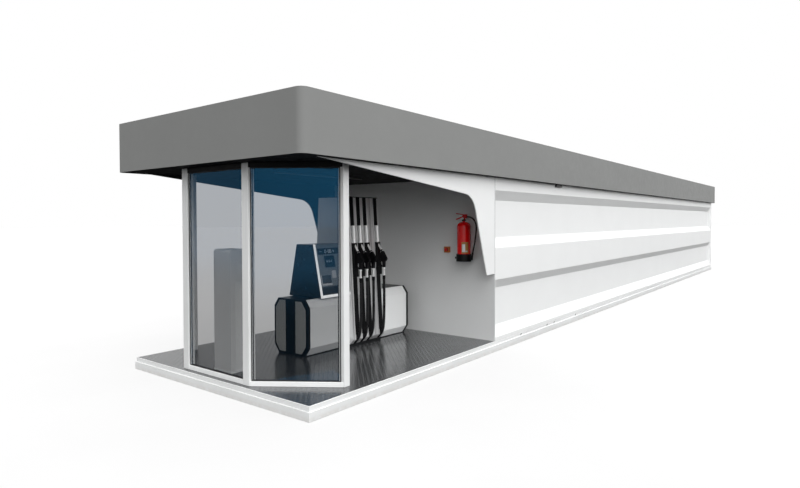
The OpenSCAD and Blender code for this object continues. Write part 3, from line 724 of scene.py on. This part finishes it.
def head_details():
    """Sheets, displays, keys, card tray and vents on both sloping sides of the display head."""
    sheets, numbers, frames, keys, wedge, vents = (bmesh.new() for _ in range(6))
    skin = 0.006
    slope = HEAD_HEIGHT / math.cos(HEAD_LEAN)
    length = HEAD_HIGH.y - HEAD_LOW.y
    sheet_low, brim = 0.138, 0.012
    tray_y, tray_z, tray_edge = (0.050, 0.215), (0.150, 0.176), 0.286
    vent_y, vent_z, vent_pitch, vent_w = 0.058, (0.048, 0.126), 0.024, 0.012
    for _, s in SIDES:
        face = head_face(s)
        block(sheets, (0, 0.038, sheet_low), (0.003, length - 0.008, slope - brim), 0.001, face)
        block(sheets, (0, 0.036, slope - brim), (0.005, length - 0.006, slope - 0.004), 0.001, face)
        for text, y, z, tall in READINGS:
            digits(numbers, face, text, y, z, tall, skin)
        border(frames, (0.002, 0.139, 0.366), (0.009, 0.334, 0.530), 0.008, 0.002, face)
        head_keypad(keys, face)
        block(wedge, (0.002, tray_y[0], tray_z[0]), (0.020, tray_y[1], tray_z[1]), 0.004, face)
        block(wedge, (0.002, tray_y[0], tray_z[0]), (0.008, tray_y[0] + 0.010, tray_edge), 0.002, face)
        for i in range(16):
            y = vent_y + i * vent_pitch
            block(vents, (skin - 0.001, y, vent_z[0]), (skin + 0.003, y + vent_w, vent_z[1]), 0.001, face)
    piece("head_sheets", sheets, "head_dark", HEAD_SHEET)
    piece("head_numbers", numbers, "trim_white", PALE)
    piece("head_screen_frames", frames, "head_dark", HEAD_SHEET)
    piece("head_keypads", keys, "trim_white", SILVER)
    piece("head_card_trays", wedge, "cabinet_grey", SILVER)
    piece("head_vents", vents, "cabinet_black")


# Ribs of the drawn profile: their width, how far they stand out, and their places along the mast.
RIBS = (
    (0.012, 0.004, (0.008,)),
    (0.008, 0.006, (0.046, 0.131, 0.170, 0.256, 0.296, 0.382, 0.514, 0.601)),
    (0.016, 0.004, (0.410, 0.478)),
)
# Joints between its profiles, from one place along the mast to another.
MAST_JOINTS = ((0.4435, 0.4465), (0.026, 0.0285))


def channel_lining(mesh, s, y):
    """Black back and sides of the channel in the mast's foot that one hose comes out of."""
    half, skin = CHANNEL_WIDTH / 2, 0.001
    back = sorted((DISP_X + s * (CHANNEL_HALF - skin), DISP_X + s * (CHANNEL_HALF + skin)))
    block(mesh, (back[0], y - half, DECK_Z + 0.050), (back[1], y + half, DECK_Z + STRIP_LOW), 0)
    outline = [(CHANNEL_HALF, 0.056), (MAST_HALF - 0.0075, 0.103), (MAST_HALF - 0.0105, STRIP_LOW),
               (CHANNEL_HALF, STRIP_LOW)]
    upright = spread((s, 0, 0), (0, 0, 1), (0, 1, 0), (DISP_X, 0, DECK_Z))
    for side in (-1, 1):
        edge = sorted((y + side * half, y + side * (half - skin)))
        prism(mesh, outline, edge[0], edge[1], upright)


def hose_gland(mesh, s, y):
    """The gland round the lower end of one hose."""
    low, high = (Vector((s * x, 0, z)) for x, z in (GLAND_FROM, HOSE_ROUTE[0]))
    place = along((high - low).normalized(), (DISP_X + low.x, y, low.z))
    lathe(mesh, [(0.0215, 0.004), (0.0235, 0.006), (0.0235, 0.036), (0.022, 0.040), (0.022, 0.046),
                 (0.0195, 0.056), (0.0188, 0.062), (0.0178, 0.063)], place, 20)


def mast_details():
    """Ribs of the drawn profile, its joints, cap and foot, and the glands where the hoses start."""
    foot, top = MAST_EDGE_HEIGHT + 0.006, MAST_HEIGHT
    rim, hair = 0.004, 0.001
    ribs, joint, cap, liner, cuffs, plinth = (bmesh.new() for _ in range(6))
    for _, s in SIDES:
        face = mast_face(s)
        for width, rise, places in RIBS:
            for at in places:
                block(ribs, (-hair, at - width / 2, foot), (rise, at + width / 2, top - rim), 0.0018, face)
        for start, end in MAST_JOINTS:
            block(joint, (-hair, start, foot), (0.0012, end, top), 0, face)
        for at in NOZZLE_AT:
            channel_lining(liner, s, MAST_LOW.y + at)
            hose_gland(cuffs, s, MAST_LOW.y + at)
    half = MAST_TOP_HALF + rim
    block(cap, (DISP_X - half, MAST_LOW.y - rim, MAST_HIGH.z - 2 * hair),
          (DISP_X + half, MAST_HIGH.y + rim, MAST_HIGH.z + 2 * rim), 0.003)
    half = MAST_FOOT_HALF + 2 * hair
    block(plinth, (DISP_X - half, MAST_LOW.y + hair, DECK_Z),
          (DISP_X + half, MAST_HIGH.y - hair, DECK_Z + MAST_FOOT_HEIGHT - 2 * hair), 0.002)
    piece("mast_ribs", ribs, "mast_silver")
    piece("mast_joints", joint, "boot_black", RUBBER)
    piece("mast_foot_liners", liner, "boot_black", RUBBER)
    piece("hose_glands", cuffs, "boot_black", smooth=True)
    piece("mast_cap", cap, "boot_black")
    piece("mast_plinth", plinth, "cabinet_black")


# A nozzle's guard and lever: distance from the dispenser's centre line, and height above the ground.
GUARD_LINE = [(0.376, 1.262), (0.368, 1.240), (0.366, 1.215), (0.369, 1.190), (0.378, 1.168),
              (0.391, 1.154), (0.405, 1.150)]
LEVER_LINE = [(0.390, 1.238), (0.382, 1.220), (0.379, 1.198), (0.384, 1.178)]
# Where the leaning spout meets the nozzle's body, and the way it leans there.
SPOUT_END = (0.3755, 1.3808)
SPOUT_WAY = (0.584, -0.811)


def nozzle_details():
    """Lever, guard, splash ring and swivel sleeve of each nozzle, and the lip of its boot."""
    guards, levers, rings, lips, sleeves = (bmesh.new() for _ in range(5))
    guard_r, lever_r = 0.0065, 0.0055
    lip_from, lip_to, lip_low, lip_high = 0.041, 0.0445, 1.012, 1.343
    lip_inner, lip_outer = 0.0225, 0.0295
    foot_to, foot_half, foot_up, foot_down = 0.0485, 0.033, 0.002, 0.006
    for _, s in SIDES:
        for at in NOZZLE_AT:
            y = MAST_LOW.y + at
            sweep(guards, beside(s, y, GUARD_LINE), guard_r)
            sweep(levers, beside(s, y, LEVER_LINE), lever_r, 8)
            way = Vector((s * SPOUT_WAY[0], 0, SPOUT_WAY[1])).normalized()
            place = along(way, (DISP_X + s * SPOUT_END[0], y, SPOUT_END[1]))
            lathe(rings, [(0.0125, 0), (0.0145, 0.001), (0.0155, 0.005), (0.0155, 0.013), (0.0140, 0.018),
                          (0.0125, 0.0185)], place, 24)
            face = mast_face(s, at)
            for side in (-1, 1):
                edge = sorted((side * lip_inner, side * lip_outer))
                block(lips, (lip_from, edge[0], lip_low), (lip_to, edge[1], lip_high), 0.0015, face)
            block(lips, (lip_from, -foot_half, lip_low - foot_down),
                  (foot_to, foot_half, lip_low + foot_up), 0.003, face)
            upright = spread((1, 0, 0), (0, 1, 0), (0, 0, 1), (DISP_X + s * SWIVEL_X, y, 0))
            lathe(sleeves, [(0.0188, 0.985), (0.0200, 0.990), (0.0205, 1.030), (0.0200, 1.036),
                            (0.0181, 1.0365)], upright, 20)
    piece("nozzle_guards", guards, "nozzle_black", smooth=True)
    piece("nozzle_levers", levers, "coupling_metal", smooth=True)
    piece("nozzle_splash_rings", rings, "nozzle_black", smooth=True)
    piece("boot_lips", lips, "boot_black")
    piece("hose_sleeves", sleeves, "boot_black", smooth=True)


# ---------------------------------------------------------------- safety gear on the rear wall

def label_patch(mesh, axis, turn_from, turn_to, low, high, radius):
    """A curved patch on the bottle, between two angles and two heights."""
    bottle_r, steps = 0.0915, 10
    turn = [math.radians(turn_from + (turn_to - turn_from) * i / steps) for i in range(steps + 1)]
    lines = []
    for r in (radius, bottle_r):
        for z in (low, high):
            points = [(r * math.cos(a), r * math.sin(a), z) for a in turn]
            lines.append([mesh.verts.new(axis @ Vector(point)) for point in points])
    for i in range(steps):
        for p, q in ((0, 1), (1, 3), (3, 2), (2, 0)):
            mesh.faces.new((lines[p][i], lines[p][i + 1], lines[q][i + 1], lines[q][i]))
    for i in (0, steps):
        mesh.faces.new((lines[0][i], lines[1][i], lines[3][i], lines[2][i]))


def extinguisher_details():
    """Gauge, rings, wall clip, label and discharge nozzle of the extinguisher."""
    gauge, ring, clip, labels, silver, nozzle = (bmesh.new() for _ in range(6))
    out = spread((1, 0, 0), (0, 0, 1), (0, -1, 0), (EXT_X - 0.004, EXT_Y - 0.016, 1.800))
    lathe(gauge, [(0, 0.022), (0.012, 0.022), (0.0155, 0.020), (0.0165, 0.012), (0.0165, 0)], out, 24)
    axis = spread((1, 0, 0), (0, 1, 0), (0, 0, 1), (EXT_X, EXT_Y, 0))
    lathe(ring, [(0.018, 1.766), (0.027, 1.768), (0.028, 1.774), (0.027, 1.784), (0.022, 1.787)], axis, 24)
    lathe(ring, [(0.0922, 1.3105), (0.0935, 1.311), (0.0935, 1.316), (0.0922, 1.3165)], axis, 48)
    block(clip, (EXT_X - 0.125, EXT_Y - 0.03, 1.246), (EXT_X - 0.098, EXT_Y + 0.01, 1.272), 0.003)
    label_patch(labels, axis, -78, -18, 1.325, 1.480, 0.0926)
    label_patch(silver, axis, -74, -48, 1.345, 1.450, 0.0932)
    label_patch(silver, axis, -44, -26, 1.345, 1.362, 0.0932)
    end = Vector((EXT_X + EXT_HOSE_ROUTE[-1][0], EXT_Y, EXT_HOSE_ROUTE[-1][1]))
    way = Vector((-0.010, 0, -0.050)).normalized()
    lathe(nozzle, [(0.0102, 0), (0.0125, 0.004), (0.0125, 0.030), (0.010, 0.040), (0.0135, 0.075),
                   (0.017, 0.105), (0.015, 0.105), (0.009, 0.050), (0, 0.048)],
          along(way, end - way * 0.03), 20)
    piece("extinguisher_gauge", gauge, "spout_metal", smooth=True)
    piece("extinguisher_rings", ring, "boot_plastic", smooth=True)
    piece("extinguisher_strap", clip, "boot_plastic")
    piece("extinguisher_label", labels, "stop_orange", OCHRE)
    piece("extinguisher_label_patches", silver, "spout_metal", SILVER)
    piece("extinguisher_nozzle", nozzle, "boot_plastic", smooth=True)


def stop_details():
    """A red mushroom button with its collar on the emergency stop."""
    low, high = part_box("emergency_stop")
    middle = (low + high) / 2
    button_reach = 0.020
    out = spread((1, 0, 0), (0, 0, 1), (0, -1, 0), (middle.x, low.y + button_reach, middle.z))
    collar, button = bmesh.new(), bmesh.new()
    lathe(collar, [(0.024, -0.001), (0.024, 0.003), (0.022, 0.005), (0.0165, 0.005)], out, 32)
    lathe(button, [(0.0165, 0.006), (0.0205, 0.009), (0.0215, 0.014), (0.020, 0.020), (0.014, 0.0235),
                   (0.006, 0.0245), (0, 0.0247)], out, 32)
    piece("stop_collar", collar, "boot_plastic", smooth=True)
    piece("stop_button", button, "valve_red", RED_CAP, smooth=True)


tread_bars()
side_details()
roof_details()
glazing_gaskets()
terminal_details()
head_details()
mast_details()
nozzle_details()
extinguisher_details()
stop_details()


# ---------------------------------------------------------------- floor and light

def floor_finish():
    """Pale to the eye. Other rays see it dark beside the station, so that it throws little light up."""
    material, tree, surface = shader("floor_paint")
    place = node(tree, "TexCoord")
    back = node(tree, "SeparateXYZ", {"Vector": place.outputs["Object"]}).outputs["Y"]
    ray = node(tree, "LightPath")
    pale = vary(tree, noise(tree, 0.5), 0.15, 0.17)
    glow = 0.77
    mirrored = node(tree, "MapRange", {"Value": back, "From Min": FRONT_Y - 3, "From Max": FRONT_Y - 15,
                                       "To Min": 0.03, "To Max": 0.40}, interpolation_type="SMOOTHSTEP")
    near = node(tree, "MapRange", {"Value": back, "From Min": FRONT_Y - 0.9, "From Max": FRONT_Y - 0.3,
                                   "To Min": 0.04, "To Max": 0.35})
    ahead = node(tree, "Math", {0: back, 1: FRONT_Y}, operation="LESS_THAN")
    lit = node(tree, "Math", {0: near.outputs["Result"], 1: ahead.outputs["Value"]},
               operation="MULTIPLY")
    thrown = node(tree, "Mix", {"Factor": ray.outputs["Is Glossy Ray"]})
    tree.links.new(lit.outputs["Value"], thrown.inputs["A"])
    tree.links.new(mirrored.outputs["Result"], thrown.inputs["B"])
    seen = node(tree, "Mix", {"Factor": ray.outputs["Is Camera Ray"]})
    tree.links.new(thrown.outputs["Result"], seen.inputs["A"])
    tree.links.new(pale, seen.inputs["B"])
    tree.links.new(seen.outputs["Result"], surface.inputs["Base Color"])
    surface.inputs["Roughness"].default_value = 0.9
    surface.inputs["Specular IOR Level"].default_value = 0.1
    surface.inputs["Emission Color"].default_value = (1, 1, 1, 1)
    shining = node(tree, "Math", {0: ray.outputs["Is Camera Ray"], 1: glow}, operation="MULTIPLY")
    tree.links.new(shining.outputs["Value"], surface.inputs["Emission Strength"])
    return material


def make_stage():
    """A wide pale floor under a soft studio dome with a broad bright patch at the front right."""
    floor = bmesh.new()
    bmesh.ops.create_circle(floor, cap_ends=True, segments=96, radius=FLOOR_RADIUS)
    mesh = bpy.data.meshes.new("floor")
    floor.to_mesh(mesh)
    floor.free()
    mesh.materials.append(floor_finish())
    plane = bpy.data.objects.new("floor", mesh)
    plane.location.z = CAD_LOW.z - 0.001
    bpy.context.scene.collection.objects.link(plane)

    world = bpy.data.worlds.new("studio")
    bpy.context.scene.world = world
    world.use_nodes = True
    tree = world.node_tree
    place = node(tree, "TexCoord")
    lean = node(tree, "VectorMath", {0: place.outputs["Generated"], 1: DOME_LEAN},
                operation="DOT_PRODUCT")
    around = node(tree, "Math", {0: lean.outputs["Value"], 1: DOME_EVEN}, operation="ADD")
    toward = node(tree, "VectorMath", {0: place.outputs["Generated"], 1: PATCH_TOWARD},
                  operation="DOT_PRODUCT")
    ahead = node(tree, "Math", {0: toward.outputs["Value"], 1: 0.0}, operation="MAXIMUM")
    patch = node(tree, "Math", {0: ahead.outputs["Value"], 1: PATCH_FOCUS}, operation="POWER")
    dome = node(tree, "Math", {0: patch.outputs["Value"], 1: PATCH_STRENGTH, 2: around.outputs["Value"]},
                operation="MULTIPLY_ADD")
    ray = node(tree, "LightPath")
    seen = node(tree, "Mix", {"Factor": ray.outputs["Is Camera Ray"]})
    tree.links.new(dome.outputs["Value"], seen.inputs["A"])
    seen.inputs["B"].default_value = 1.0
    tree.links.new(seen.outputs["Result"], tree.nodes["Background"].inputs["Strength"])
    tree.nodes["Background"].inputs["Color"].default_value = (1, 1, 1, 1)
    bpy.context.scene.view_settings.view_transform = "Standard"


make_stage()


def visual_bounds():
    """The corners of everything but the floor, as it renders."""
    graph = bpy.context.evaluated_depsgraph_get()
    points = []
    for made in bpy.context.scene.objects:
        if made.type in ("MESH", "CURVE") and made.name != "floor":
            ready = made.evaluated_get(graph)
            mesh = ready.to_mesh()
            points += [ready.matrix_world @ v.co for v in mesh.vertices]
            ready.to_mesh_clear()
    return [[f(p[i] for p in points) for i in range(3)] for f in (min, max)]


{"cad": [list(CAD_LOW), list(CAD_HIGH)], "visual": visual_bounds()}
